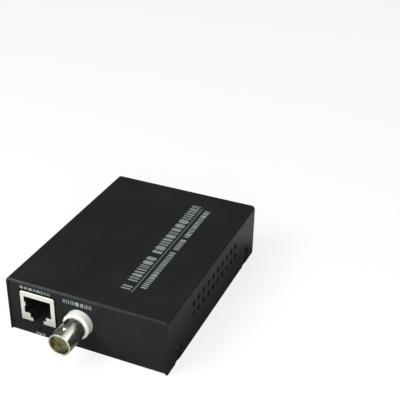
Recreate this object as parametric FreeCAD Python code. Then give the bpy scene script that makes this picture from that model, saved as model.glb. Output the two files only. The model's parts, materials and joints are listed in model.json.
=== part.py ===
import FreeCAD, Part
import math
import os

# Coax to ethernet converter in a folded steel case, in millimetres.
# The origin is the centre of the case's footprint, on its underside.
# +X is to the right seen from the front, the front panel faces -Y and +Z is up.

V = FreeCAD.Vector

# Case
case_width = 71.0
case_depth = 95.0
case_height = 25.5
sheet = 1.0
cover_inner_bend = 0.8
cover_edge_round = 0.35
cover_lift = 0.4
base_inner_bend = 0.1
panel_setback = 0.3
case_gap = 0.2
cut_out_gap = 0.55

# Vents, the same in both sides of the cover
vent_diameter = 2.8
vent_pitch = 5.08
vents_per_row = 10
vent_rows = 2
lower_vent_height = 12.9

# Pressed dimples in the cover's sides, each with a countersunk screw
dimple_depth = 0.6
dimple_radius = 4.75
dimple_floor_radius = 3.9
dimple_height = 4.7
front_dimple_inset = 9.0
rear_dimple_inset = 12.0

# Tabs folded up from the base behind the dimples
tab_length = 12.0
tab_height = 9.0
tab_bend = 0.8
relief_slot = 1.0

# Screws
thread_radius = 1.45
thread_clearance = 0.05
screw_hole_clearance = 0.2
cover_screw_head_radius = 2.75
cover_screw_length = 3.6
countersink_clearance = 0.1
board_screw_head_radius = 2.6
board_screw_head_height = 1.7
board_screw_length = 5.0
cross_width = 0.7
cross_span = 2.8
cross_depth = 0.6

# Standoffs pressed into the base
standoff_height = 4.8
standoff_radius = 2.5
standoff_head_flats = 5.6
press_gap = 0.02

# Circuit board
board_thickness = 1.6
board_end_gap = 0.4
board_side_gap = 0.4
board_corner = 1.5
board_hole_inset = 3.6
board_front_hole_gap = 5.2
board_rear_hole_inset = 6.5
lead_hole_gap = 0.1
lead_tail = 1.2

# Ethernet jack, contacts at the top and the latch at the bottom
ethernet_inset = 14.15
ethernet_width = 15.8
ethernet_height = 13.6
ethernet_depth = 21.0
ethernet_proud = 0.5
shield_sheet = 0.3
shield_fold = 0.8
shield_rim_round = 0.25
finger_reach = 0.35
finger_height = 2.0
finger_length = 2.2
shield_tail_width = 1.6
housing_gap = 0.05
plug_width = 12.3
plug_height = 7.8
plug_top_wall = 2.2
plug_depth = 13.0
step_width = 7.2
step_height = 2.0
latch_width = 4.8
latch_height = 1.4
contact_count = 8
contact_pitch = 1.02
contact_width = 0.4
contact_thickness = 0.35
contact_slot = 0.6
contact_slot_height = 1.0
contact_start = 2.6
contact_dip = 2.0
contact_run = 6.4
contact_tail_setback = 3.5
contact_tail_stagger = 2.54

# Coax jack, a bayonet socket in a white plastic body
coax_x = -2.45
coax_axis_height = 6.0
coax_reach = 15.4
collar_radius = 5.75
collar_height = 3.5
collar_chamfer = 0.5
coax_body_width = 14.4
coax_body_height = 12.6
coax_body_depth = 13.0
coax_peg_radius = 0.9
coax_peg_spread = 10.0
barrel_radius = 4.8
barrel_bore_radius = 4.1
barrel_bore_depth = 9.0
barrel_edge = 0.25
lug_radius = 0.97
lug_reach = 5.5
lug_setback = 5.1
insulator_radius = 2.6
insulator_proud = 1.2
center_contact_radius = 1.1
center_contact_bore = 0.7
center_contact_setback = 5.2
center_contact_slit = 0.3
center_contact_slit_length = 2.8
shell_back_wall = 1.5
coax_pin_width = 0.8

# Power jack in the rear panel
power_inset = 17.5
power_width = 9.0
power_height = 11.0
power_depth = 14.0
power_proud = 0.3
power_axis_height = 6.5
power_bore_radius = 3.1
power_bore_depth = 10.0
power_pin_radius = 1.0
power_pin_root_radius = 1.3
power_pin_chamfer = 0.5
power_pin_setback = 0.6
power_tail_width = 1.2
power_strip = 0.4

# Status light under the board's front edge
led_offset = 0.8
led_radius = 1.05
led_length = 4.0
led_proud = 0.45
led_flange = 0.3
led_board_gap = 0.5
led_lead = 0.5
led_lead_spacing = 1.27

# Parts on the board. A place is (x, y) from the centre. One named from_left or from_right
# has its x in from that edge of the board, and one named from_rear its y in from the rear edge.
lead_thickness = 0.2
lead_width = 0.35
chip_standoff = 0.15
chip_chamfer = 0.3
square_chip_height = 1.4
square_chip_pitch = 1.0
square_chip_foot = 0.8
modem_place = (2.0, 2.0)
modem_side = 14.0
modem_leads_per_side = 12
phy_from_left = (11.9, 4.0)
phy_side = 10.0
phy_leads_per_side = 8
row_chip_pitch = 1.27
row_chip_foot = 1.0
firmware_from_right = (8.9, 3.0)
firmware_side = 5.3
firmware_height = 1.8
firmware_leads_per_side = 4
isolation_from_left = (12.9, -12.5)
isolation_length = 9.5
isolation_width = 12.7
isolation_height = 5.6
isolation_leads_per_side = 8
line_transformer_place = (4.0, -20.0)
line_transformer_side = 10.0
line_transformer_height = 9.0
core_plate = 2.0
core_leg = 1.5
winding_radius = 3.1
crystal_place = (3.0, 17.0)
crystal_from_left = (11.9, 15.5)
crystal_length = 11.0
crystal_width = 4.6
crystal_height = 3.6
input_can_from_right = (8.9, 22.0)
output_can_from_rear = (5.2, 9.8)
large_can = (4.0, 11.5)
line_can_from_right = (8.9, -14.0)
small_can = (3.15, 8.0)
electrolytic_foot = 1.2
electrolytic_groove = 0.35
score_width = 0.3
score_depth = 0.2
inductor_from_rear = (-6.0, 10.8)
inductor_side = 10.0
inductor_height = 4.8
inductor_corner = 1.7
inductor_core_radius = 3.0
inductor_glue_width = 0.8
inductor_glue_depth = 0.5
regulator_from_left = 10.9
regulators_from_rear = (7.8, 17.8)
regulator_length = 6.5
regulator_width = 3.5
regulator_height = 1.6
regulator_tab_width = 3.0
regulator_lead_width = 0.7
regulator_lead_pitch = 2.3
regulator_reach = 1.6
regulator_lead_height = 0.6
diode_from_rear = (12.0, 17.8)
diode_length = 4.4
diode_width = 2.6
diode_height = 2.2
small_part_pitch = 3.6
small_part_count = 6
small_part_start = -5.4
ceramic_row = -9.5
ceramic_size = (1.25, 2.0, 0.9)
resistor_row = 12.0
resistor_size = (0.8, 1.6, 0.5)

front = -case_depth / 2
rear = case_depth / 2
front_face = front + panel_setback
front_back = front_face + sheet
rear_face = rear - panel_setback
rear_back = rear_face - sheet
inner_side = case_width / 2 - sheet
inner_top = case_height - sheet
panel_half = inner_side - case_gap
panel_top = inner_top - case_gap
tab_face = inner_side - dimple_depth
screw_stations = (front + front_dimple_inset, rear - rear_dimple_inset)

board_bottom = sheet + standoff_height
board_top = board_bottom + board_thickness
board_half = case_width / 2 - dimple_depth - cover_screw_length - board_side_gap
board_front = front_back + board_end_gap
board_rear = rear_back - board_end_gap

ethernet_x = ethernet_inset - case_width / 2
ethernet_front = front_face - ethernet_proud
ethernet_rear = ethernet_front + ethernet_depth
ethernet_top = board_top + ethernet_height
plug_top = ethernet_top - plug_top_wall
plug_bottom = plug_top - plug_height
step_bottom = plug_bottom - step_height
latch_bottom = step_bottom - latch_height

coax_z = board_top + coax_axis_height
coax_mouth = front_face - coax_reach
coax_back = front_back + coax_body_depth
barrel_floor = coax_mouth + barrel_bore_depth

power_x = case_width / 2 - power_inset
power_z = board_top + power_axis_height
power_mouth = rear_face + power_proud
power_back = power_mouth - power_depth

led_x = ethernet_x - led_offset
led_z = board_bottom - led_board_gap - led_radius
led_front = front_face - led_proud
led_back = led_front + led_length

phy_place = (phy_from_left[0] - board_half, phy_from_left[1])
isolation_place = (isolation_from_left[0] - board_half, isolation_from_left[1])
firmware_place = (board_half - firmware_from_right[0], firmware_from_right[1])
crystal_places = [(crystal_from_left[0] - board_half, crystal_from_left[1]), crystal_place]
inductor_place = (inductor_from_rear[0], board_rear - inductor_from_rear[1])
diode_place = (diode_from_rear[0], board_rear - diode_from_rear[1])
regulator_places = [(regulator_from_left - board_half, board_rear - inset) for inset in regulators_from_rear]
electrolytics = [
    (board_half - input_can_from_right[0], input_can_from_right[1], *large_can),
    (output_can_from_rear[0], board_rear - output_can_from_rear[1], *large_can),
    (board_half - line_can_from_right[0], line_can_from_right[1], *small_can),
]

hole_x = board_half - board_hole_inset
board_holes = [
    (side * hole_x, y)
    for side in (-1, 1)
    for y in (ethernet_rear + board_front_hole_gap, board_rear - board_rear_hole_inset)
]


def box(low, high):
    """Block between two opposite corners."""
    size = high - low
    return Part.makeBox(size.x, size.y, size.z, low)


def rod(radius, start, end):
    """Round bar between two points."""
    axis = end - start
    return Part.makeCylinder(radius, axis.Length, start, axis)


def taper(start_radius, end_radius, start, end):
    """Round bar that narrows or widens between two points."""
    axis = end - start
    return Part.makeCone(start_radius, end_radius, axis.Length, start, axis)


def prism(points, along):
    """Straight bar with a polygon as its section."""
    return Part.Face(Part.makePolygon(points + points[:1])).extrude(along)


def joined(pieces):
    """One solid out of several that meet."""
    return pieces[0].multiFuse(pieces[1:]).removeSplitter()


def turned(outline, x, z):
    """Solid of revolution about an axis along Y, from its (y, radius) outline."""
    points = [V(x, y, z + radius) for y, radius in outline]
    face = Part.Face(Part.makePolygon(points + points[:1]))
    return face.revolve(V(x, 0, z), V(0, 1, 0), 360)


def ribbon(path, thickness, place, along):
    """Strip of even thickness that follows a bent path, mitred at its bends."""
    near, far = [], []
    for i, (u, v) in enumerate(path):
        before = path[max(i - 1, 0)]
        after = path[min(i + 1, len(path) - 1)]
        into = math.atan2(v - before[1], u - before[0]) if i else None
        out = math.atan2(after[1] - v, after[0] - u) if i < len(path) - 1 else None
        into = out if into is None else into
        out = into if out is None else out
        turn = math.atan2(math.sin(out - into), math.cos(out - into))
        normal = into + turn / 2 + math.pi / 2
        reach = thickness / 2 / math.cos(turn / 2)
        du, dv = reach * math.cos(normal), reach * math.sin(normal)
        near.append(place(u + du, v + dv))
        far.append(place(u - du, v - dv))
    return prism(near + far[::-1], along)


def folded_channel(half, height, inner, place, along):
    """Sheet folded twice into a channel; place maps (across, up from its web) into space."""
    diagonal = math.sqrt(0.5)
    bend = inner + sheet

    def corner(side, radius):
        middle = side * (half - bend)
        start = place(middle + side * radius, bend)
        halfway = place(middle + side * radius * diagonal, bend - radius * diagonal)
        return Part.Arc(start, halfway, place(middle, bend - radius)).toShape()

    def line(a, b):
        return Part.makeLine(place(*a), place(*b))

    flat = half - bend
    edges = [
        line((-half, height), (-half, bend)),
        corner(-1, bend),
        line((-flat, 0), (flat, 0)),
        corner(1, bend),
        line((half, bend), (half, height)),
        line((half, height), (half - sheet, height)),
        line((half - sheet, height), (half - sheet, bend)),
        corner(1, inner),
        line((flat, sheet), (-flat, sheet)),
        corner(-1, inner),
        line((sheet - half, bend), (sheet - half, height)),
        line((sheet - half, height), (-half, height)),
    ]
    wire = Part.Wire(Part.__sortEdges__(edges))
    return Part.Face(wire).extrude(along)


def cross_recess(place):
    """Two crossed slots for a screwdriver; place maps (u, v, depth) into space."""
    wide, narrow = cross_span / 2, cross_width / 2
    slots = []
    for u, v in ((wide, narrow), (narrow, wide)):
        rim = [place(-u, -v, 0), place(u, -v, 0), place(u, v, 0), place(-u, v, 0)]
        slots.append(prism(rim, place(0, 0, cross_depth) - place(0, 0, 0)))
    return joined(slots)


def make_top_cover():
    """Folded cover with rounded cut edges, vents and pressed screw dimples."""
    def place(across, down):
        return V(across, front, case_height - down)

    def on_outer_rim(edge):
        bound = edge.BoundBox
        at_end = bound.YLength < 0.01 and abs(abs(bound.YMin) - case_depth / 2) < 0.01
        at_top = abs(bound.ZMax - case_height) < 0.01
        at_side = bound.XLength < 0.01 and abs(abs(bound.XMin) - case_width / 2) < 0.01
        return at_end and (at_top or at_side)

    height = case_height - cover_lift
    cover = folded_channel(case_width / 2, height, cover_inner_bend, place, V(0, case_depth, 0))
    cover = cover.makeFillet(cover_edge_round, [edge for edge in cover.Edges if on_outer_rim(edge)])
    below_cover = box(V(-case_width, -case_depth, -case_height), V(case_width, case_depth, cover_lift))
    cutters = []
    for side in (-1, 1):
        outside = side * case_width / 2
        inside = side * inner_side
        for y in screw_stations:
            def at(x, lower=dimple_height, station=y):
                return V(x, station, lower)
            floor = outside - side * dimple_depth
            pressed = taper(dimple_radius, dimple_floor_radius, at(inside), at(inside - side * dimple_depth))
            cover = cover.fuse(pressed.cut(below_cover))
            cutters.append(taper(dimple_radius, dimple_floor_radius, at(outside), at(floor)))
            head = cover_screw_head_radius + countersink_clearance
            cutters.append(taper(head, head - sheet, at(floor), at(floor - side * sheet)))
        for row in range(vent_rows):
            for column in range(vents_per_row):
                y = (column - (vents_per_row - 1) / 2) * vent_pitch
                z = lower_vent_height + row * vent_pitch
                cutters.append(rod(vent_diameter / 2, V(outside, y, z), V(inside, y, z)))
    return cover.cut(Part.makeCompound(cutters)).removeSplitter()


def front_hole(radius, x, z):
    """Round cutter through the front panel."""
    return rod(radius, V(x, front_face - sheet, z), V(x, front_back + sheet, z))


def make_base_chassis():
    """Folded base with the front and rear panels, their cut-outs and the screw tabs."""
    def place(along, up):
        return V(-panel_half, along, up)

    def on_panel_corner(edge):
        bound = edge.BoundBox
        at_side = abs(abs(bound.XMin) - panel_half) < 0.01 and bound.XLength < 0.01
        return at_side and abs(bound.ZMin - panel_top) < 0.01

    def on_tab_fold(edge):
        bound = edge.BoundBox
        at_side = abs(abs(bound.XMin) - tab_face) < 0.01 and bound.XLength < 0.01
        return at_side and abs(bound.ZMax) < 0.01 and abs(bound.YLength - tab_length) < 0.01

    base = folded_channel(-front_face, panel_top, base_inner_bend, place, V(2 * panel_half, 0, 0))
    corner = cover_inner_bend - case_gap
    base = base.makeFillet(corner, [edge for edge in base.Edges if on_panel_corner(edge)])
    trims, tabs = [], []
    for side in (-1, 1):
        edge_near, edge_far = sorted((side * tab_face, side * case_width))
        plate_front, plate_rear = front_back + base_inner_bend, rear_back - base_inner_bend
        trims.append(box(V(edge_near, plate_front, -sheet), V(edge_far, plate_rear, 2 * sheet)))
        for y in screw_stations:
            tab_near, tab_far = sorted((side * (tab_face - sheet), side * tab_face))
            slot_near, slot_far = sorted((side * (tab_face - sheet - relief_slot), side * tab_face))
            tabs.append(box(V(tab_near, y - tab_length / 2, 0), V(tab_far, y + tab_length / 2, tab_height)))
            for end in (-1, 1):
                start, stop = sorted((y + end * tab_length / 2, y + end * (tab_length / 2 + relief_slot)))
                trims.append(box(V(slot_near, start, -sheet), V(slot_far, stop, 2 * sheet)))
    base = joined([base.cut(Part.makeCompound(trims))] + tabs)
    base = base.makeFillet(tab_bend, [edge for edge in base.Edges if on_tab_fold(edge)])
    cutters = [
        box(
            V(ethernet_x - ethernet_width / 2 - cut_out_gap, front_face - sheet, board_top - cut_out_gap),
            V(ethernet_x + ethernet_width / 2 + cut_out_gap, front_back + sheet, ethernet_top + cut_out_gap),
        ),
        front_hole(collar_radius + case_gap, coax_x, coax_z),
        front_hole(led_radius + case_gap, led_x, led_z),
        box(
            V(power_x - power_width / 2 - case_gap, rear_back - sheet, board_top - case_gap),
            V(power_x + power_width / 2 + case_gap, rear_face + sheet, board_top + power_height + case_gap),
        ),
    ]
    for x, y in board_holes:
        cutters.append(hexagon(x, y, standoff_head_flats / 2 + press_gap, -sheet, 2 * sheet))
    for side in (-1, 1):
        for y in screw_stations:
            face, back = V(side * tab_face, y, dimple_height), V(side * (tab_face - sheet), y, dimple_height)
            cutters.append(rod(thread_radius + thread_clearance, face, back))
            rim = cover_screw_head_radius + countersink_clearance - sheet
            drop = rim - thread_radius - thread_clearance
            cutters.append(taper(rim, rim - drop, face, V(side * (tab_face - drop), y, dimple_height)))
    return base.cut(Part.makeCompound(cutters))


def hexagon(x, y, inradius, bottom, top):
    """Six-sided upright bar."""
    radius = inradius / math.cos(math.pi / 6)
    points = [
        V(x + radius * math.cos(i * math.pi / 3), y + radius * math.sin(i * math.pi / 3), bottom)
        for i in range(6)
    ]
    return prism(points, V(0, 0, top - bottom))


def make_cover_screws():
    """Countersunk screws through the dimples into the tabs."""
    screws = []
    for side in (-1, 1):
        top = side * (case_width / 2 - dimple_depth)
        for y in screw_stations:
            def at(depth, across=0.0, up=0.0, surface=top, direction=side, station=y):
                return V(surface - direction * depth, station + across, dimple_height + up)

            head_depth = cover_screw_head_radius - thread_radius
            head = taper(cover_screw_head_radius, thread_radius, at(0), at(head_depth))
            shank = rod(thread_radius, at(head_depth), at(cover_screw_length))
            recess = cross_recess(lambda u, v, depth, spot=at: spot(depth, u, v))
            screws.append(joined([head, shank]).cut(recess))
    return screws


def make_board_standoffs():
    """Threaded posts pressed into the base from below."""
    posts = []
    for x, y in board_holes:
        head = hexagon(x, y, standoff_head_flats / 2, 0, sheet)
        post = rod(standoff_radius, V(x, y, sheet), V(x, y, board_bottom))
        bore = rod(thread_radius + thread_clearance, V(x, y, 0), V(x, y, board_bottom))
        posts.append(joined([head, post]).cut(bore))
    return posts


def make_board_screws():
    """Pan-head screws that hold the board on its standoffs."""
    screws = []
    for x, y in board_holes:
        top = board_top + board_screw_head_height
        head = rod(board_screw_head_radius, V(x, y, board_top), V(x, y, top))
        rim = [edge for edge in head.Edges if edge.BoundBox.ZMin > top - 0.01]
        head = head.makeChamfer(board_screw_head_height / 2, rim)
        shank = rod(thread_radius, V(x, y, board_top), V(x, y, board_top - board_screw_length))
        recess = cross_recess(lambda u, v, depth, cx=x, cy=y, cz=top: V(cx + u, cy + v, cz - depth))
        screws.append(joined([head, shank]).cut(recess))
    return screws


def ethernet_tails():
    """Places (x, y) of the network contacts' tails in two staggered rows."""
    tails = []
    for i in range(contact_count):
        x = ethernet_x + (i - (contact_count - 1) / 2) * contact_pitch
        row = contact_tail_stagger * (i % 2)
        tails.append((x, ethernet_rear - contact_tail_setback - row))
    return tails


def shield_tails():
    """Places (x, y) of the shield's two tails in the board."""
    reach = ethernet_width / 2 - shield_sheet / 2
    return [(ethernet_x + side * reach, ethernet_front + ethernet_depth / 2) for side in (-1, 1)]


def make_ethernet_jack_shield():
    """Folded shield, open below, with a stepped plug opening in its front."""
    half = ethernet_width / 2
    low = V(ethernet_x - half, ethernet_front, board_top)
    high = V(ethernet_x + half, ethernet_rear, ethernet_top)

    def on_front_rim(edge):
        bound = edge.BoundBox
        return bound.YMax < ethernet_front + 0.01 and bound.ZMax > board_top + 0.01

    outer = box(low, high)
    outer = outer.makeFillet(shield_fold, long_top_edges(outer))
    outer = outer.makeFillet(shield_rim_round, [edge for edge in outer.Edges if on_front_rim(edge)])
    room = box(
        V(ethernet_x - half + shield_sheet, ethernet_front + shield_sheet, board_top - sheet),
        V(ethernet_x + half - shield_sheet, ethernet_rear - shield_sheet, ethernet_top - shield_sheet),
    )
    room = room.makeFillet(shield_fold - shield_sheet, long_top_edges(room))
    tails = []
    for x, y in shield_tails():
        low = V(x - shield_sheet / 2, y - shield_tail_width / 2, board_bottom - lead_tail)
        tails.append(box(low, V(x + shield_sheet / 2, y + shield_tail_width / 2, board_top + sheet)))
    mouth = joined(plug_blocks(ethernet_front - sheet, ethernet_front + 2 * shield_sheet))
    below_latch = box(
        V(ethernet_x - latch_width / 2, ethernet_front - sheet, board_top - sheet),
        V(ethernet_x + latch_width / 2, ethernet_front + 2 * shield_sheet, latch_bottom + housing_gap),
    )
    return joined([outer.cut(room).cut(mouth).cut(below_latch)] + tails + spring_fingers())


def spring_fingers():
    """Two bulges folded back into the plug opening from the shield's front."""
    fingers = []
    low = (plug_bottom + plug_top - finger_height) / 2
    for side in (-1, 1):
        wall = ethernet_x + side * plug_width / 2
        crest = wall - side * finger_reach
        start, stop = ethernet_front + shield_rim_round, ethernet_front + finger_length
        outline = [
            V(wall, ethernet_front, low),
            V(crest, start, low),
            V(crest, stop - finger_reach, low),
            V(wall, stop, low),
        ]
        fingers.append(prism(outline, V(0, 0, finger_height)))
    return fingers


def plug_blocks(start, stop, slack=0.0):
    """The three blocks of the plug opening: body, step and latch slot."""
    levels = (
        (plug_width, plug_bottom, plug_top),
        (step_width, step_bottom, plug_bottom),
        (latch_width, latch_bottom, step_bottom),
    )
    return [
        box(V(ethernet_x - width / 2 + slack, start, low), V(ethernet_x + width / 2 - slack, stop, high))
        for width, low, high in levels
    ]


def make_ethernet_jack_housing():
    """Plastic insert with the plug cavity and a channel for each contact."""
    inset = shield_sheet + housing_gap
    half = ethernet_width / 2 - inset
    body = box(
        V(ethernet_x - half, ethernet_front + inset, board_top),
        V(ethernet_x + half, ethernet_rear - inset, ethernet_top - inset),
    )
    body = body.makeFillet(shield_fold - inset, long_top_edges(body))
    cavity_back = ethernet_front + plug_depth
    cutters = plug_blocks(ethernet_front, cavity_back)
    front_end = ethernet_front + contact_start - contact_slot
    roof = plug_top + contact_slot_height
    for x, tail_y in ethernet_tails():
        left, right = x - contact_slot / 2, x + contact_slot / 2
        channel_front, channel_back = tail_y - contact_slot / 2, tail_y + contact_slot / 2
        cutters.append(box(V(left, front_end, plug_top - sheet), V(right, cavity_back, roof)))
        cutters.append(box(V(left, cavity_back - sheet, plug_top), V(right, channel_back, roof)))
        cutters.append(box(V(left, channel_front, board_top - sheet), V(right, channel_back, roof)))
    return body.cut(joined(cutters))


def make_ethernet_jack_contacts():
    """Eight sprung wires: up from the board, forward along the roof and back into the cavity."""
    contacts = []
    roof = plug_top + contact_slot_height / 2
    start = ethernet_front + contact_start
    for x, tail_y in ethernet_tails():
        path = [
            (tail_y, board_bottom - lead_tail),
            (tail_y, roof),
            (start, roof),
            (start - contact_thickness / 2, plug_top - contact_thickness),
            (start + contact_run, plug_top - contact_dip),
        ]

        def place(y, z, left=x - contact_width / 2):
            return V(left, y, z)

        contacts.append(ribbon(path, contact_thickness, place, V(contact_width, 0, 0)))
    return contacts


def coax_pegs():
    """Places (x, y) of the coax body's two pegs in the board."""
    y = (board_front + coax_back) / 2
    return [(coax_x + side * coax_peg_spread / 2, y) for side in (-1, 1)]


def long_top_edges(body):
    """A block's two top edges along Y."""
    top = body.BoundBox.ZMax - press_gap
    return [edge for edge in body.Edges if edge.BoundBox.YLength > sheet and edge.BoundBox.ZMin > top]


def make_coax_jack_housing():
    """White plastic body behind the panel, with its collar out through the panel."""
    bottom = board_top
    body = box(
        V(coax_x - coax_body_width / 2, front_back, bottom),
        V(coax_x + coax_body_width / 2, coax_back, bottom + coax_body_height),
    )
    body = body.makeFillet(collar_chamfer, long_top_edges(body))
    outer_face = front_face - collar_height
    collar = rod(collar_radius, V(coax_x, outer_face, coax_z), V(coax_x, front_back + sheet, coax_z))
    rim = [edge for edge in collar.Edges if edge.BoundBox.YMax < outer_face + 0.01]
    collar = collar.makeChamfer(collar_chamfer, rim)
    pegs = [rod(coax_peg_radius, V(x, y, bottom + sheet), V(x, y, board_bottom)) for x, y in coax_pegs()]
    bore_start, bore_end = V(coax_x, outer_face - sheet, coax_z), V(coax_x, coax_back + sheet, coax_z)
    bore = rod(barrel_radius + press_gap, bore_start, bore_end)
    return joined([body, collar] + pegs).cut(bore)


def make_coax_jack_shell():
    """Plated barrel with a deep mouth and two bayonet lugs."""
    shell_back = coax_back + shell_back_wall
    outline = [
        (coax_mouth, barrel_bore_radius + barrel_edge),
        (coax_mouth, barrel_radius - barrel_edge),
        (coax_mouth + barrel_edge, barrel_radius),
        (shell_back, barrel_radius),
        (shell_back, insulator_radius + press_gap),
        (barrel_floor, insulator_radius + press_gap),
        (barrel_floor, barrel_bore_radius),
        (coax_mouth + barrel_edge, barrel_bore_radius),
    ]
    barrel = turned(outline, coax_x, coax_z)
    y = coax_mouth + lug_setback
    root = (barrel_bore_radius + barrel_radius) / 2
    lugs = []
    for side in (-1, 1):
        inner, outer = V(coax_x, y, coax_z + side * root), V(coax_x, y, coax_z + side * lug_reach)
        lugs.append(rod(lug_radius, inner, outer))
    return joined([barrel] + lugs)


def make_coax_jack_insulator():
    """Sleeve that carries the centre contact in the barrel."""
    inner = center_contact_radius + press_gap
    outline = [
        (barrel_floor - insulator_proud, inner),
        (barrel_floor - insulator_proud, insulator_radius),
        (coax_back + shell_back_wall, insulator_radius),
        (coax_back + shell_back_wall, inner),
    ]
    return turned(outline, coax_x, coax_z)


def coax_tail_y():
    """Back of the centre contact's tail along Y, clear of the ground plate on the shell."""
    return coax_back + shell_back_wall + shield_sheet + lead_hole_gap + coax_pin_width


def make_coax_jack_center_contact():
    """Slit socket on the axis, with a square tail down into the board."""
    tip = coax_mouth + center_contact_setback
    tail_y = coax_tail_y()
    stem = rod(center_contact_radius, V(coax_x, tip, coax_z), V(coax_x, tail_y, coax_z))
    bore_end = tip + center_contact_slit_length
    bore = rod(center_contact_bore, V(coax_x, tip, coax_z), V(coax_x, bore_end, coax_z))
    half, wide = center_contact_slit / 2, 2 * center_contact_radius
    slits = [
        box(V(coax_x - half, tip - sheet, coax_z - wide), V(coax_x + half, bore_end, coax_z + wide)),
        box(V(coax_x - wide, tip - sheet, coax_z - half), V(coax_x + wide, bore_end, coax_z + half)),
    ]
    pin = coax_pin_width / 2
    tail = box(
        V(coax_x - pin, tail_y - 2 * pin, board_bottom - lead_tail),
        V(coax_x + pin, tail_y, coax_z),
    )
    return joined([stem, tail]).cut(joined([bore] + slits))


def make_coax_jack_ground_pin():
    """Plate pressed over the shell's back end, with a tail down into the board."""
    back = coax_back + shell_back_wall
    pin = coax_pin_width / 2
    ring = rod(barrel_radius, V(coax_x, back, coax_z), V(coax_x, back + shield_sheet, coax_z))
    hole = rod(insulator_radius, V(coax_x, back, coax_z), V(coax_x, back + shield_sheet, coax_z))
    offset = barrel_radius - coax_pin_width
    tail = box(
        V(coax_x + offset - pin, back, board_bottom - lead_tail),
        V(coax_x + offset + pin, back + shield_sheet, coax_z),
    )
    return joined([ring, tail]).cut(hole)


def make_power_jack_housing():
    """Plastic body of the power inlet with a round plug bore."""
    half = power_width / 2
    low = V(power_x - half, power_back, board_top)
    high = V(power_x + half, power_mouth, board_top + power_height)
    body = box(low, high)
    body = body.makeFillet(collar_chamfer, long_top_edges(body))
    bore_floor = power_mouth - power_bore_depth
    bore = rod(power_bore_radius, V(power_x, bore_floor, power_z), V(power_x, power_mouth + sheet, power_z))
    pin_start, pin_end = V(power_x, power_back - sheet, power_z), V(power_x, bore_floor + sheet, power_z)
    pin_hole = rod(power_pin_root_radius + press_gap, pin_start, pin_end)
    slot_half = power_tail_width / 2 + lead_hole_gap
    spring_slot = box(
        V(power_x - slot_half, power_back + power_strip, board_top - sheet),
        V(power_x + slot_half, power_mouth - power_strip - sheet, power_z),
    )
    return body.cut(joined([bore, pin_hole, spring_slot]))


def power_tails():
    """Distances along Y of the power contacts' tails: the pin's, then the spring's."""
    return (power_back - power_strip / 2, power_back + 2 * power_strip + power_tail_width)


def make_power_jack_pin():
    """Centre pin with a chamfered nose, a thicker root and a flat tail behind the body."""
    nose = power_mouth - power_pin_setback
    bore_floor = power_mouth - power_bore_depth
    tail_y = power_tails()[0]
    pin = rod(power_pin_radius, V(power_x, tail_y, power_z), V(power_x, nose, power_z))
    tip = [edge for edge in pin.Edges if edge.BoundBox.YMin > nose - 0.01]
    pin = pin.makeChamfer(power_pin_chamfer, tip)
    root = rod(power_pin_root_radius, V(power_x, tail_y, power_z), V(power_x, bore_floor, power_z))
    half = power_tail_width / 2
    tail = box(
        V(power_x - half, tail_y - power_strip / 2, board_bottom - lead_tail),
        V(power_x + half, tail_y + power_strip / 2, power_z + power_pin_radius),
    )
    return joined([pin, root, tail])


def make_power_jack_spring():
    """Bent strip that presses on the plug's sleeve from below."""
    low = power_z - power_bore_radius
    tail_y = power_tails()[1]
    path = [
        (tail_y, board_bottom - lead_tail),
        (tail_y, low - power_strip),
        (tail_y + power_bore_depth / 2, low + power_strip / 2),
        (power_mouth - 2 * sheet - power_strip, low - power_strip),
    ]
    left = power_x - power_tail_width / 2
    return ribbon(path, power_strip, lambda y, z: V(left, y, z), V(power_tail_width, 0, 0))


def make_status_led_lens():
    """Small domed light body that looks out under the network jack."""
    body = rod(led_radius, V(led_x, led_front, led_z), V(led_x, led_back, led_z))
    dome = [edge for edge in body.Edges if edge.BoundBox.YMax < led_front + 0.01]
    body = body.makeFillet(led_radius * 0.6, dome)
    flange_start = front_back + led_flange
    flange_radius = led_radius + led_board_gap
    flange = rod(flange_radius, V(led_x, flange_start, led_z), V(led_x, flange_start + led_flange, led_z))
    return joined([body, flange])


def led_lead_y():
    """Distance along Y where the light's leads turn up into the board."""
    return max(led_back, board_front) + 2 * led_lead


def make_status_led_leads():
    """Two bent leads from the light up into the board."""
    leads = []
    for side in (-1, 1):
        path = [(led_back, led_z), (led_lead_y(), led_z), (led_lead_y(), board_top)]

        def place(y, z, left=led_x + side * led_lead_spacing / 2 - led_lead / 2):
            return V(left, y, z)

        leads.append(ribbon(path, led_lead, place, V(led_lead, 0, 0)))
    return leads


def tail_hole(x, y, width, depth):
    """Rectangular hole in the board for a tail of the given section."""
    half_x = width / 2 + lead_hole_gap
    half_y = depth / 2 + lead_hole_gap
    return box(V(x - half_x, y - half_y, board_bottom - sheet), V(x + half_x, y + half_y, board_top + sheet))


def make_circuit_board():
    """Board with rounded corners and a hole for each screw, peg and tail."""
    board = box(V(-board_half, board_front, board_bottom), V(board_half, board_rear, board_top))
    board = board.makeFillet(board_corner, [edge for edge in board.Edges if edge.BoundBox.ZLength > 1])
    holes = []
    for x, y in board_holes:
        holes.append(rod(thread_radius + screw_hole_clearance, V(x, y, board_bottom), V(x, y, board_top)))
    for x, y in coax_pegs():
        holes.append(rod(coax_peg_radius + lead_hole_gap, V(x, y, board_bottom), V(x, y, board_top)))
    for x, y in ethernet_tails():
        holes.append(tail_hole(x, y, contact_width, contact_thickness))
    for x, y in shield_tails():
        holes.append(tail_hole(x, y, shield_sheet, shield_tail_width))
    signal_y = coax_tail_y() - coax_pin_width / 2
    ground_y = coax_back + shell_back_wall + shield_sheet / 2
    ground_x = coax_x + barrel_radius - coax_pin_width
    holes.append(tail_hole(coax_x, signal_y, coax_pin_width, coax_pin_width))
    holes.append(tail_hole(ground_x, ground_y, coax_pin_width, shield_sheet))
    for y in power_tails():
        holes.append(tail_hole(power_x, y, power_tail_width, power_strip))
    for side in (-1, 1):
        holes.append(tail_hole(led_x + side * led_lead_spacing / 2, led_lead_y(), led_lead, led_lead))
    return board.cut(Part.makeCompound(holes))


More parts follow.
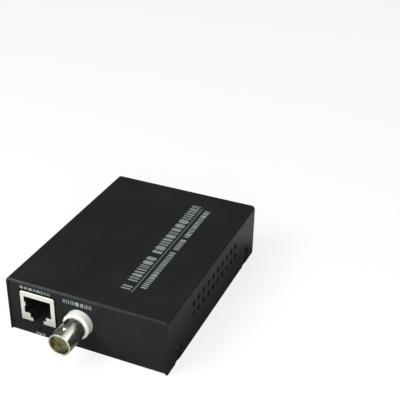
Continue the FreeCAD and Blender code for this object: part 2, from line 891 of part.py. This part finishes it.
def chip_body(spot, length, width, height):
    """Moulded package just clear of the board, with its top edges chamfered."""
    x, y = spot
    bottom = board_top + chip_standoff
    body = box(V(x - length / 2, y - width / 2, bottom), V(x + length / 2, y + width / 2, bottom + height))
    top = body.BoundBox.ZMax - press_gap
    return body.makeChamfer(chip_chamfer, [edge for edge in body.Edges if edge.BoundBox.ZMin > top])


def gull_leads(spot, half, count, pitch, turn, exit_height, foot):
    """Row of leads that leave a package's side, drop and end flat on the board."""
    low = board_top + lead_thickness / 2
    path = [
        (half, low + exit_height),
        (half + foot / 2, low + exit_height),
        (half + foot / 2, low),
        (half + 1.5 * foot, low),
    ]
    outward = V(math.cos(turn), math.sin(turn), 0)
    along = V(-math.sin(turn), math.cos(turn), 0)
    leads = []
    for i in range(count):
        start = V(*spot, 0) + along * ((i - (count - 1) / 2) * pitch - lead_width / 2)

        def place(reach, up, origin=start):
            return origin + outward * reach + V(0, 0, up)

        leads.append(ribbon(path, lead_thickness, place, along * lead_width))
    return leads


def square_chip_leads(spot, side, leads_per_side):
    """Leads on all four sides of a square package."""
    leads = []
    for quarter in range(4):
        turn = quarter * math.pi / 2
        rise = square_chip_height / 2
        leads += gull_leads(spot, side / 2, leads_per_side, square_chip_pitch, turn, rise, square_chip_foot)
    return leads


def row_chip_leads(spot, length, height, leads_per_side):
    """Leads on the two long sides of a package."""
    leads = []
    for turn in (0, math.pi):
        rise = height / 3
        leads += gull_leads(spot, length / 2, leads_per_side, row_chip_pitch, turn, rise, row_chip_foot)
    return leads


def board_block(spot, length, width, height):
    """Rectangular part that sits on the board."""
    x, y = spot
    low = V(x - length / 2, y - width / 2, board_top)
    high = V(x + length / 2, y + width / 2, board_top + height)
    return box(low, high)


def make_line_transformer():
    """Two ferrite plates joined by outer legs, around a round winding."""
    x, y = line_transformer_place
    side, height = line_transformer_side, line_transformer_height
    core = board_block(line_transformer_place, side, side, height)
    half_window = side / 2 - core_leg
    low, high = board_top + core_plate, board_top + height - core_plate
    window = box(V(x - half_window, y - side, low), V(x + half_window, y + side, high))
    winding = rod(winding_radius, V(x, y, low), V(x, y, high))
    return joined([core.cut(window), winding])


def make_crystal_can(spot):
    """Low metal can with round ends."""
    can = board_block(spot, crystal_length, crystal_width, crystal_height)
    uprights = [edge for edge in can.Edges if edge.BoundBox.ZLength > crystal_height / 2]
    return can.makeFillet(crystal_width / 2 - chip_chamfer, uprights)


def make_electrolytic(x, y, radius, height):
    """Capacitor can with a rolled groove near its foot and a scored top."""
    top = board_top + height
    foot = board_top + electrolytic_foot
    groove = electrolytic_groove
    outline = [
        (0, board_top), (radius, board_top), (radius, foot), (radius - groove, foot + groove),
        (radius, foot + 2 * groove), (radius, top - groove), (radius - groove, top), (0, top),
    ]
    points = [V(x + reach, y, z) for reach, z in outline]
    can = Part.Face(Part.makePolygon(points + points[:1])).revolve(V(x, y, 0), V(0, 0, 1), 360)
    scores = []
    for half_x, half_y in ((radius / 2, score_width / 2), (score_width / 2, radius / 2)):
        scores.append(box(V(x - half_x, y - half_y, top - score_depth), V(x + half_x, y + half_y, top)))
    return can.cut(joined(scores))


def make_power_inductor():
    """Shielded square inductor with clipped corners and a glued gap around its core."""
    x, y = inductor_place
    top = board_top + inductor_height
    body = board_block(inductor_place, inductor_side, inductor_side, inductor_height)
    uprights = [edge for edge in body.Edges if edge.BoundBox.ZLength > inductor_height / 2]
    body = body.makeChamfer(inductor_corner, uprights)
    low, high = V(x, y, top - inductor_glue_depth), V(x, y, top)
    core = rod(inductor_core_radius, low, high)
    gap = rod(inductor_core_radius + inductor_glue_width, low, high).cut(core)
    return body.cut(gap)


def make_regulator(spot):
    """Small regulator with a broad cooling tab and three leads."""
    x, y = spot
    body = board_block(spot, regulator_length, regulator_width, regulator_height)
    offset = (regulator_width + regulator_reach) / 2
    reach = regulator_reach + 2 * chip_chamfer
    tab = board_block((x, y + offset - chip_chamfer), regulator_tab_width, reach, regulator_lead_height)
    leads = []
    for i in (-1, 0, 1):
        place = (x + i * regulator_lead_pitch, y - offset + chip_chamfer)
        leads.append(board_block(place, regulator_lead_width, reach, regulator_lead_height))
    return joined([body, tab] + leads)


def small_part_row(y, size):
    """Even row of small chip parts along X."""
    return [
        board_block((small_part_start + i * small_part_pitch, y), *size)
        for i in range(small_part_count)
    ]


def write(name, shape):
    """Write one piece, or a group of like pieces, to its own file."""
    solids = shape if isinstance(shape, list) else [shape]
    result = solids[0] if len(solids) == 1 else Part.makeCompound(solids)
    result.exportStep(f"parts/{name}.step")


os.makedirs("parts", exist_ok=True)

write("top_cover", make_top_cover())
write("base_chassis", make_base_chassis())
write("cover_screws", make_cover_screws())
write("board_standoffs", make_board_standoffs())
write("board_screws", make_board_screws())
write("circuit_board", make_circuit_board())

write("ethernet_jack_shield", make_ethernet_jack_shield())
write("ethernet_jack_housing", make_ethernet_jack_housing())
write("ethernet_jack_contacts", make_ethernet_jack_contacts())

write("coax_jack_housing", make_coax_jack_housing())
write("coax_jack_shell", make_coax_jack_shell())
write("coax_jack_insulator", make_coax_jack_insulator())
write("coax_jack_center_contact", make_coax_jack_center_contact())
write("coax_jack_ground_pin", make_coax_jack_ground_pin())

write("power_jack_housing", make_power_jack_housing())
write("power_jack_pin", make_power_jack_pin())
write("power_jack_spring", make_power_jack_spring())

write("status_led_lens", make_status_led_lens())
write("status_led_leads", make_status_led_leads())

write("modem_chip", chip_body(modem_place, modem_side, modem_side, square_chip_height))
write("modem_chip_leads", square_chip_leads(modem_place, modem_side, modem_leads_per_side))
write("ethernet_phy_chip", chip_body(phy_place, phy_side, phy_side, square_chip_height))
write("ethernet_phy_chip_leads", square_chip_leads(phy_place, phy_side, phy_leads_per_side))
write("firmware_chip", chip_body(firmware_place, firmware_side, firmware_side, firmware_height))
write(
    "firmware_chip_leads",
    row_chip_leads(firmware_place, firmware_side, firmware_height, firmware_leads_per_side),
)
write(
    "isolation_transformer",
    chip_body(isolation_place, isolation_length, isolation_width, isolation_height),
)
write(
    "isolation_transformer_leads",
    row_chip_leads(isolation_place, isolation_length, isolation_height, isolation_leads_per_side),
)
write("line_transformer", make_line_transformer())
write("crystal_cans", [make_crystal_can(spot) for spot in crystal_places])
write("electrolytic_capacitors", [make_electrolytic(*item) for item in electrolytics])
write("power_inductor", make_power_inductor())
write("voltage_regulators", [make_regulator(spot) for spot in regulator_places])
write("protection_diode", board_block(diode_place, diode_length, diode_width, diode_height))
write("ceramic_capacitors", small_part_row(ceramic_row, ceramic_size))
write("chip_resistors", small_part_row(resistor_row, resistor_size))
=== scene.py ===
import json
import math
import random

import bpy
import bmesh
from mathutils import Euler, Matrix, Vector

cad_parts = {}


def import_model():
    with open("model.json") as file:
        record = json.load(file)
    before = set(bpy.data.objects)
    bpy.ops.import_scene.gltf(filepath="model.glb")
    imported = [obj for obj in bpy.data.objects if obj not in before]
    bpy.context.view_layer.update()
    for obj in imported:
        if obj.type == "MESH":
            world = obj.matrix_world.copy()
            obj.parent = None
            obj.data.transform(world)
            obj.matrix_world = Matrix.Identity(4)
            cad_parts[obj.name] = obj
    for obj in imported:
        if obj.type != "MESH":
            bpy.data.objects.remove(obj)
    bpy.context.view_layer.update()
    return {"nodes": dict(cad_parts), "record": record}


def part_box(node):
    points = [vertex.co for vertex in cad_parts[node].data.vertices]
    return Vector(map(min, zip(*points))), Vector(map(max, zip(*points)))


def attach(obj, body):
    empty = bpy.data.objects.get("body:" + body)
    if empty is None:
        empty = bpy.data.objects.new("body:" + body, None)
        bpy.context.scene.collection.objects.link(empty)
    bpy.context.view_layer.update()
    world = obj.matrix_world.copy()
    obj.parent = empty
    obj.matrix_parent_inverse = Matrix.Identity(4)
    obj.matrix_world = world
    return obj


MM = 0.001

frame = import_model()
cover_low, cover_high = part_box("top_cover")
base_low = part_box("base_chassis")[0]
barrel_low, barrel_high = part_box("coax_jack_shell")


# Materials

class Nodes:
    """Short way to build the nodes of a material or a world."""

    def __init__(self, owner):
        owner.use_nodes = True
        self.tree = owner.node_tree
        self.tree.nodes.clear()

    def add(self, kind, **settings):
        node = self.tree.nodes.new(kind)
        for key, value in settings.items():
            setattr(node, key, value)
        return node

    def link(self, source, target):
        self.tree.links.new(source, target)

    def put(self, value, target):
        if hasattr(value, "links"):
            self.link(value, target)
        else:
            target.default_value = value

    def spread(self, value, low, high, out_low=0.0, out_high=1.0):
        node = self.add("ShaderNodeMapRange", clamp=True)
        self.put(value, node.inputs["Value"])
        for key, number in (("From Min", low), ("From Max", high), ("To Min", out_low), ("To Max", out_high)):
            node.inputs[key].default_value = number
        return node.outputs["Result"]

    def math(self, operation, first, second=0.0):
        node = self.add("ShaderNodeMath", operation=operation)
        for value, target in zip((first, second), node.inputs):
            self.put(value, target)
        return node.outputs["Value"]

    def length(self, first, second):
        """Distance from two of its parts at right angles."""
        squares = [self.math("MULTIPLY", side, side) for side in (first, second)]
        return self.math("SQRT", self.math("ADD", *squares))


class Graph(Nodes):
    """Material with a principled shader."""

    def __init__(self, name):
        self.material = bpy.data.materials.new(name)
        super().__init__(self.material)
        self.output = self.add("ShaderNodeOutputMaterial")
        self.shader = self.add("ShaderNodeBsdfPrincipled")
        self.link(self.shader.outputs["BSDF"], self.output.inputs["Surface"])
        self.place = self.add("ShaderNodeTexCoord").outputs["Object"]

    def noise(self, scale, detail=3.0, roughness=0.55, stretch=None):
        node = self.add("ShaderNodeTexNoise")
        node.inputs["Scale"].default_value = scale
        node.inputs["Detail"].default_value = detail
        node.inputs["Roughness"].default_value = roughness
        source = self.place
        if stretch:
            mapping = self.add("ShaderNodeMapping")
            mapping.inputs["Scale"].default_value = stretch
            self.link(self.place, mapping.inputs["Vector"])
            source = mapping.outputs["Vector"]
        self.link(source, node.inputs["Vector"])
        return node.outputs["Fac"]

    def mix(self, factor, first, second):
        node = self.add("ShaderNodeMix", data_type="RGBA")
        self.put(factor, node.inputs["Factor"])
        self.put(first, node.inputs[6])
        self.put(second, node.inputs[7])
        return node.outputs[2]

    def axis(self, name):
        node = self.add("ShaderNodeSeparateXYZ")
        self.link(self.place, node.inputs["Vector"])
        return node.outputs[name]

    def bump(self, height, distance, strength, under=None):
        node = self.add("ShaderNodeBump")
        node.inputs["Strength"].default_value = strength
        node.inputs["Distance"].default_value = distance
        self.link(height, node.inputs["Height"])
        if under:
            self.link(under, node.inputs["Normal"])
        return node.outputs["Normal"]

    def finish(self, color, rough, normal=None, **sockets):
        self.put(color, self.shader.inputs["Base Color"])
        self.put(rough, self.shader.inputs["Roughness"])
        if normal:
            self.link(normal, self.shader.inputs["Normal"])
        for key, value in sockets.items():
            self.shader.inputs[key.replace("_", " ")].default_value = value
        return self.material


def add_object(name, data):
    made = bpy.data.objects.new(name, data)
    bpy.context.scene.collection.objects.link(made)
    return made


def rgb(red, green, blue):
    return (red, green, blue, 1.0)


def worn(graph, base, light, dark, patch, grain):
    """Base colour with broad patches towards light and fine specks towards dark."""
    broad = graph.spread(graph.noise(patch, 2.0), 0.35, 0.7)
    fine = graph.spread(graph.noise(grain, 2.0, 0.7), 0.45, 0.75, 0.0, 0.6)
    return graph.mix(fine, graph.mix(broad, rgb(*base), rgb(*light)), rgb(*dark))


# Painted highlight: a lighter band along the top of the cover's front edge, in place of the light its rounded
# edge catches, which is fainter towards the right.
HIGHLIGHT_DEPTH = 0.25 * MM
HIGHLIGHT_HEIGHT = 1.9 * MM
HIGHLIGHT_FADE = 1.0 * MM
HIGHLIGHT_AT_RIGHT = 0.25


def black_paint():
    """Satin powder coat: fine orange peel, and a painted highlight along the top of the front edge."""
    g = Graph("black_powder_coat")
    peel = g.noise(1500.0, 3.0, 0.5)
    speck = g.noise(5200.0, 2.0, 0.6)
    smear = g.noise(34.0, 3.0, 0.55)
    base, light, dark = (0.0152, 0.0180, 0.0170), (0.0200, 0.0235, 0.0222), (0.0105, 0.0128, 0.0120)
    color = worn(g, base, light, dark, 42.0, 2600.0)
    # Painted highlight: the band at the top of the front edge is mixed to a lighter grey in colour.
    near_front = g.spread(g.axis("Y"), cover_low.y + 2 * HIGHLIGHT_DEPTH, cover_low.y + HIGHLIGHT_DEPTH)
    near_top = g.spread(g.axis("Z"), cover_high.z - HIGHLIGHT_HEIGHT, cover_high.z - HIGHLIGHT_HEIGHT + HIGHLIGHT_FADE)
    along = g.spread(g.axis("X"), cover_low.x, cover_high.x, 1.0, HIGHLIGHT_AT_RIGHT)
    uneven = g.spread(g.noise(260.0), 0.3, 0.7, 0.5, 1.0)
    painted_highlight = g.math("MULTIPLY", g.math("MULTIPLY", near_front, near_top), g.math("MULTIPLY", along, uneven))
    color = g.mix(painted_highlight, color, rgb(0.075, 0.086, 0.083))
    rough = g.math("ADD", g.spread(smear, 0.3, 0.7, 0.28, 0.36), g.spread(speck, 0.3, 0.7, -0.03, 0.05))
    normal = g.bump(peel, 0.02 * MM, 0.55, g.bump(speck, 0.006 * MM, 0.5))
    return g.finish(color, rough, normal, Specular_IOR_Level=0.04)


def metal(name, base, light, dark, rough, spread=0.08, brushed=(1.0, 1.0, 1.0)):
    """Plated or bare metal with fine scratches, stains and uneven gloss."""
    g = Graph(name)
    color = worn(g, base, light, dark, 180.0, 2400.0)
    fine = g.noise(700.0, 3.0, 0.6, brushed)
    stain = g.noise(240.0, 3.0)
    scratched = g.spread(fine, 0.3, 0.7, rough - spread, rough + spread)
    rough_value = g.math("ADD", scratched, g.spread(stain, 0.45, 0.75, 0.0, spread))
    return g.finish(color, rough_value, g.bump(fine, 0.008 * MM, 0.3), Metallic=1.0)


def plastic(name, base, light, dark, rough, bump=0.3, spec=0.5):
    """Moulded plastic with a fine grain."""
    g = Graph(name)
    color = worn(g, base, light, dark, 120.0, 1800.0)
    texture = g.noise(2200.0, 3.0, 0.55)
    rough_value = g.spread(g.noise(160.0), 0.3, 0.7, rough - 0.05, rough + 0.06)
    return g.finish(color, rough_value, g.bump(texture, 0.01 * MM, bump), Specular_IOR_Level=spec)


def board_material():
    """Green solder mask with faint tracks under it."""
    g = Graph("solder_mask")
    brick = g.add("ShaderNodeTexBrick", offset=0.37, squash=0.7)
    brick.inputs["Scale"].default_value = 520.0
    brick.inputs["Mortar Size"].default_value = 0.06
    brick.inputs["Color1"].default_value = rgb(0.012, 0.11, 0.045)
    brick.inputs["Color2"].default_value = rgb(0.018, 0.15, 0.06)
    brick.inputs["Mortar"].default_value = rgb(0.03, 0.23, 0.09)
    g.link(g.place, brick.inputs["Vector"])
    uneven = g.spread(g.noise(800.0), 0.35, 0.7, 0.0, 0.5)
    color = g.mix(uneven, brick.outputs["Color"], rgb(0.008, 0.08, 0.03))
    rough = g.spread(g.noise(300.0), 0.3, 0.7, 0.28, 0.42)
    return g.finish(color, rough, g.bump(brick.outputs["Fac"], 0.02 * MM, 0.4))


def lens_material():
    """Green tinted light, off."""
    g = Graph("tinted_lens")
    base, light, dark = (0.001, 0.007, 0.0035), (0.002, 0.012, 0.006), (0.001, 0.004, 0.002)
    rough = g.spread(g.noise(900.0), 0.3, 0.7, 0.3, 0.42)
    return g.finish(worn(g, base, light, dark, 900.0, 4000.0), rough, Specular_IOR_Level=0.15)


BORE_SKIN = 4.3 * MM
BORE_FADE = 0.1 * MM
CUT_EDGE = 0.3 * MM
CUT_EDGE_SHADE = 0.6
CUT_ROUGHER = 0.3


def plated_barrel():
    """Dull nickel, slightly rippled and stained, brassy inside its bore, and matte at its cut edge, which is
    also darkened as painted shade.
    """
    g = Graph("nickel_plate")
    color = worn(g, (0.66, 0.66, 0.58), (0.78, 0.78, 0.70), (0.36, 0.37, 0.28), 420.0, 1500.0)
    centre = (barrel_low + barrel_high) / 2
    across = g.math("SUBTRACT", g.axis("X"), centre.x)
    upward = g.math("SUBTRACT", g.axis("Z"), centre.z)
    away = g.length(across, upward)
    inside = g.spread(away, BORE_SKIN, BORE_SKIN - BORE_FADE)
    color = g.mix(inside, color, rgb(0.60, 0.60, 0.48))
    # Painted shade: the cut edge is darkened in colour to dim the lamps' glint on it. Its extra roughness is
    # real.
    cut_edge = g.spread(g.axis("Y"), barrel_low.y + 2 * CUT_EDGE, barrel_low.y + CUT_EDGE)
    color = g.mix(g.math("MULTIPLY", cut_edge, CUT_EDGE_SHADE), color, rgb(0.30, 0.31, 0.27))
    ripple = g.noise(520.0, 2.0, 0.5, (1.0, 0.45, 1.0))
    grain = g.noise(2600.0, 3.0, 0.6)
    rough = g.math("ADD", g.spread(ripple, 0.3, 0.7, 0.16, 0.30), g.spread(grain, 0.35, 0.7, -0.02, 0.06))
    rough = g.math("ADD", rough, g.math("MULTIPLY", cut_edge, CUT_ROUGHER))
    normal = g.bump(ripple, 0.06 * MM, 0.5, g.bump(grain, 0.004 * MM, 0.3))
    return g.finish(color, rough, normal, Metallic=1.0)


def ink_material(name, color, light, dark):
    """Screen-printed ink, thinner in places."""
    g = Graph(name)
    shade = worn(g, color, light, dark, 420.0, 5200.0)
    rough = g.spread(g.noise(1200.0), 0.3, 0.7, 0.5, 0.65)
    return g.finish(shade, rough, g.bump(g.noise(6000.0), 0.005 * MM, 0.5))


finishes = {
    "black_paint": black_paint(),
    "black_screw": metal(
        "black_oxide", (0.04, 0.042, 0.045), (0.07, 0.072, 0.075), (0.02, 0.02, 0.022), 0.38,
    ),
    "zinc_steel": metal("zinc_plate", (0.6, 0.61, 0.62), (0.7, 0.71, 0.72), (0.42, 0.43, 0.44), 0.34),
    "board_laminate": board_material(),
    "tin_plate": metal("soldered_tin", (0.66, 0.66, 0.65), (0.76, 0.76, 0.75), (0.45, 0.45, 0.44), 0.36),
    "jack_plastic": plastic(
        "jack_moulding", (0.008, 0.008, 0.01), (0.014, 0.014, 0.016), (0.005, 0.005, 0.006), 0.5, spec=0.3,
    ),
    "gold_plate": metal("gold_plate", (0.70, 0.62, 0.36), (0.78, 0.70, 0.44), (0.48, 0.42, 0.22), 0.34),
    "white_plastic": plastic(
        "white_moulding", (0.88, 0.91, 0.81), (0.93, 0.95, 0.87), (0.80, 0.83, 0.71), 0.4,
    ),
    "nickel_plate": plated_barrel(),
    "insulator_plastic": plastic(
        "insulator", (0.66, 0.67, 0.54), (0.74, 0.75, 0.62), (0.50, 0.51, 0.38), 0.5,
    ),
    "light_green": lens_material(),
    "chip_plastic": plastic(
        "chip_moulding", (0.02, 0.02, 0.022), (0.03, 0.03, 0.032), (0.012, 0.012, 0.014), 0.6, 0.5,
    ),
    "ferrite": plastic("ferrite", (0.05, 0.05, 0.055), (0.07, 0.07, 0.075), (0.03, 0.03, 0.034), 0.62, 0.6),
    "can_aluminium": metal("can_aluminium", (0.72, 0.73, 0.75), (0.8, 0.81, 0.83), (0.55, 0.56, 0.58), 0.32),
    "capacitor_ceramic": plastic(
        "ceramic_tan", (0.48, 0.36, 0.24), (0.56, 0.44, 0.3), (0.36, 0.26, 0.16), 0.45,
    ),
    "resistor_ceramic": plastic(
        "resistor_glaze", (0.03, 0.03, 0.035), (0.05, 0.05, 0.055), (0.015, 0.015, 0.018), 0.3,
    ),
}
special = {
    "ethernet_jack_shield": metal(
        "tin_plate", (0.76, 0.775, 0.68), (0.85, 0.86, 0.77), (0.60, 0.61, 0.51), 0.3, 0.07, (1.0, 1.0, 6.0),
    ),
}

for part in frame["record"]["subparts"]:
    node = frame["nodes"][part["node"]]
    node.data.materials.clear()
    node.data.materials.append(special.get(part["node"], finishes[part["material_slot"]]))


# Printed marks: plain bars in place of words

ink = ink_material("grey_ink", (0.20, 0.235, 0.22), (0.30, 0.34, 0.32), (0.11, 0.13, 0.12))
small_ink = ink_material("small_ink", (0.25, 0.29, 0.275), (0.35, 0.39, 0.37), (0.14, 0.165, 0.155))
rule_ink = ink_material("rule_ink", (0.16, 0.19, 0.18), (0.22, 0.25, 0.24), (0.10, 0.12, 0.11))
pale_ink = ink_material("pale_ink", (0.33, 0.355, 0.35), (0.43, 0.455, 0.45), (0.2, 0.215, 0.21))

# In mm: how far the ink stands out, and the outer radius of the base's fold.
INK = 0.02
FOLD = 1.1

# Widths and gaps before a row is scaled to its length.
MARK_WIDTHS = (0.5, 1.1)
MARK_GAP = 0.3
GROUP_GAP = 1.1

# How often a mark is a pair of thin bars, the share of its width that each has, and how much of a
# bar's shorter side each corner loses.
PAIR_CHANCE = 0.6
BAR_SHARE = 0.34
CORNER_SHARE = 0.22


def stroke(mesh, to_place, left, right, low, high):
    """Thin raised bar with clipped corners, drawn in the mark's own plane."""
    clip = CORNER_SHARE * min(right - left, high - low)
    outline = [
        (left + clip, low), (right - clip, low), (right, low + clip), (right, high - clip),
        (right - clip, high), (left + clip, high), (left, high - clip), (left, low + clip),
    ]
    base = [mesh.verts.new(to_place(a, b, -INK)) for a, b in outline]
    lid = [mesh.verts.new(to_place(a, b, INK)) for a, b in outline]
    mesh.faces.new(base[::-1])
    mesh.faces.new(lid)
    for i in range(len(outline)):
        j = (i + 1) % len(outline)
        mesh.faces.new((base[i], base[j], lid[j], lid[i]))


def row_of_bars(name, material, to_place, groups, length, height, seed):
    """Row of upright bars in groups, all of one height, some wide and some in pairs of thin ones."""
    chooser = random.Random(seed)
    marks = []
    for group in groups:
        for i in range(group):
            gap = MARK_GAP if i < group - 1 else GROUP_GAP
            marks.append((chooser.random() < PAIR_CHANCE, chooser.uniform(*MARK_WIDTHS), gap))
    total = sum(width + gap for _, width, gap in marks) - GROUP_GAP
    scale = length / total
    mesh = bmesh.new()
    left = 0.0
    for in_pair, width, gap in marks:
        right = left + width * scale
        if in_pair:
            bar = BAR_SHARE * width * scale
            stroke(mesh, to_place, left, left + bar, 0.0, height)
            stroke(mesh, to_place, right - bar, right, 0.0, height)
        else:
            stroke(mesh, to_place, left, right, 0.0, height)
        left = right + gap * scale
    keep(name, mesh, material)


def keep(name, mesh, material):
    """Turn a bmesh into a piece of the object."""
    bmesh.ops.recalc_face_normals(mesh, faces=mesh.faces)
    data = bpy.data.meshes.new(name)
    mesh.to_mesh(data)
    mesh.free()
    piece = add_object(name, data)
    data.materials.append(material)
    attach(piece, "root")


left_edge, front_edge = cover_low.x, cover_low.y


def on_top(x, y):
    """Places in the top's plane: along runs front to back, and up runs to the left. All in mm."""
    def place(along, up, out):
        return Vector((left_edge + (x - up) * MM, front_edge + (y + along) * MM, cover_high.z + out * MM))
    return place


def on_front(x, z):
    """Places on the front panel, along to the right, that follow its fold at the bottom. All in mm."""
    def place(along, up, out):
        below = max(0.0, FOLD - (z + up))
        sunk = FOLD - math.sqrt(FOLD * FOLD - below * below)
        return Vector((left_edge + (x + along) * MM, base_low.y + (sunk - out) * MM, (z + up) * MM))
    return place


row_of_bars("top_bars_large", ink, on_top(49.0, 12.8), (1, 6, 13), 70.7, 4.3, 3)
row_of_bars("top_bars_small", small_ink, on_top(54.4, 16.0), (13, 4, 11), 65.0, 2.6, 8)
rule = bmesh.new()
stroke(rule, on_top(50.3, 11.7), 0.0, 70.5, 0.0, 0.35)
keep("top_rule", rule, rule_ink)
row_of_bars("socket_bars", ink, on_front(6.3, 21.9), (8,), 13.9, 1.3, 5)
row_of_bars("jack_bars", ink, on_front(26.0, 20.9), (7,), 12.6, 1.9, 4)
row_of_bars("light_bars", pale_ink, on_front(12.1, 0.9), (4,), 4.2, 1.1, 9)


# Studio

FLOOR_SIZE = 4.0
FLOOR_DROP = 0.05 * MM
FLOOR_ALBEDO = 0.22
FLOOR_GLOW = 0.8

# In mirrors the floor's glow falls from all of it, SHADE_FAR from the case, to a share of SHADE_GLOW
# at SHADE_NEAR. A distance to the case's left or right counts SHADE_BESIDE times.
SHADE_NEAR = 5.0 * MM
SHADE_FAR = 14.0 * MM
SHADE_BESIDE = 0.9
SHADE_GLOW = 0.1


def outside(g, axis, low, high):
    """How far a point lies beyond the case along one axis."""
    place = g.axis(axis)
    furthest = g.math("MAXIMUM", g.math("SUBTRACT", low, place), g.math("SUBTRACT", place, high))
    return g.math("MAXIMUM", furthest, 0.0)


def stage_floor():
    mesh = bmesh.new()
    bmesh.ops.create_grid(mesh, x_segments=1, y_segments=1, size=FLOOR_SIZE)
    data = bpy.data.meshes.new("floor")
    mesh.to_mesh(data)
    mesh.free()
    floor = add_object("floor", data)
    floor.location = (0.0, 0.0, -FLOOR_DROP)
    g = Graph("floor_white")
    g.finish(rgb(FLOOR_ALBEDO, FLOOR_ALBEDO, FLOOR_ALBEDO), 0.9, Specular_IOR_Level=0.0)
    path = g.add("ShaderNodeLightPath")
    direct = g.math("MAXIMUM", path.outputs["Is Camera Ray"], path.outputs["Is Transmission Ray"])

    # The mirrored floor is dark close to the case, in place of a contact shadow.
    beside = g.math("MULTIPLY", outside(g, "X", cover_low.x, cover_high.x), SHADE_BESIDE)
    before = outside(g, "Y", cover_low.y, cover_high.y)
    away = g.length(beside, before)
    open_floor = g.spread(away, SHADE_NEAR, SHADE_FAR, SHADE_GLOW, 1.0)
    seen = g.math("MAXIMUM", direct, g.math("MULTIPLY", path.outputs["Is Glossy Ray"], open_floor))
    glow = g.add("ShaderNodeEmission")
    glow.inputs["Color"].default_value = rgb(1.0, 1.0, 1.0)
    g.link(g.math("MULTIPLY", seen, FLOOR_GLOW), glow.inputs["Strength"])
    both = g.add("ShaderNodeAddShader")
    g.link(g.shader.outputs["BSDF"], both.inputs[0])
    g.link(glow.outputs["Emission"], both.inputs[1])
    g.link(both.outputs["Shader"], g.output.inputs["Surface"])
    data.materials.append(g.material)


# The room's strength at the left and right for diffuse light, and the wall's where it is dark and
# pale in mirrors. It turns pale between these values of a direction's X and of its Z.
ROOM_LEFT, ROOM_RIGHT = 0.55, 0.0
WALL_DARK, WALL_BRIGHT = 0.14, 1.1
WALL_ACROSS = (-0.08, 0.1)
WALL_UP = (0.15, 0.35)


def world():
    """White to the camera, a soft room for diffuse light, and a wall that is pale to the right in mirrors."""
    made = bpy.data.worlds.new("studio")
    g = Nodes(made)

    def background(strength):
        node = g.add("ShaderNodeBackground")
        node.inputs["Color"].default_value = rgb(1.0, 1.0, 1.0)
        g.put(strength, node.inputs["Strength"])
        return node.outputs["Background"]

    def choose(factor, first, second):
        node = g.add("ShaderNodeMixShader")
        for value, target in zip((factor, first, second), node.inputs):
            g.link(value, target)
        return node.outputs["Shader"]

    path = g.add("ShaderNodeLightPath")
    split = g.add("ShaderNodeSeparateXYZ")
    g.link(g.add("ShaderNodeTexCoord").outputs["Generated"], split.inputs["Vector"])
    room = background(g.spread(split.outputs["X"], -1.0, 1.0, ROOM_LEFT, ROOM_RIGHT))
    rightward = g.spread(split.outputs["X"], *WALL_ACROSS)
    raised = g.spread(split.outputs["Z"], *WALL_UP)
    wall = background(g.spread(g.math("MULTIPLY", rightward, raised), 0.0, 1.0, WALL_DARK, WALL_BRIGHT))
    direct = g.math("MAXIMUM", path.outputs["Is Camera Ray"], path.outputs["Is Transmission Ray"])
    lit = choose(path.outputs["Is Glossy Ray"], room, wall)
    output = g.add("ShaderNodeOutputWorld")
    g.link(choose(direct, lit, background(1.0)), output.inputs["Surface"])
    bpy.context.scene.world = made


def lamp(name, place, aim, size, power):
    """Square area lamp, turned towards its aim."""
    light = bpy.data.lights.new(name, "AREA")
    light.shape = "SQUARE"
    light.size = size
    light.energy = power
    holder = add_object(name, light)
    holder.location = place
    direction = Vector(aim) - Vector(place)
    holder.rotation_euler = direction.to_track_quat("-Z", "Y").to_euler()


stage_floor()
world()
middle = (0.0, -0.01, 0.012)
lamp("key", (-0.35, -0.5, 0.62), middle, 0.5, 6.4)
lamp("fill", (0.15, -0.3, 0.14), (0.01, -0.05, 0.01), 0.14, 0.55)
lamp("back", (0.34, 0.36, 0.37), middle, 0.17, 0.25)

# The camera is fitted to the case's outlines in the photograph.
camera_data = bpy.data.cameras.new("camera")
camera_data.sensor_width = 36.0
camera_data.lens = 73.8339
camera_data.clip_start = 0.01
camera_data.clip_end = 20.0
camera = add_object("camera", camera_data)
camera.location = (0.13716, -0.26417, 0.21401)
camera.rotation_euler = Euler((math.radians(60.3544), math.radians(-1.1282), math.radians(23.172)), "XYZ")
bpy.context.scene.camera = camera

bpy.context.scene.view_settings.view_transform = "Standard"
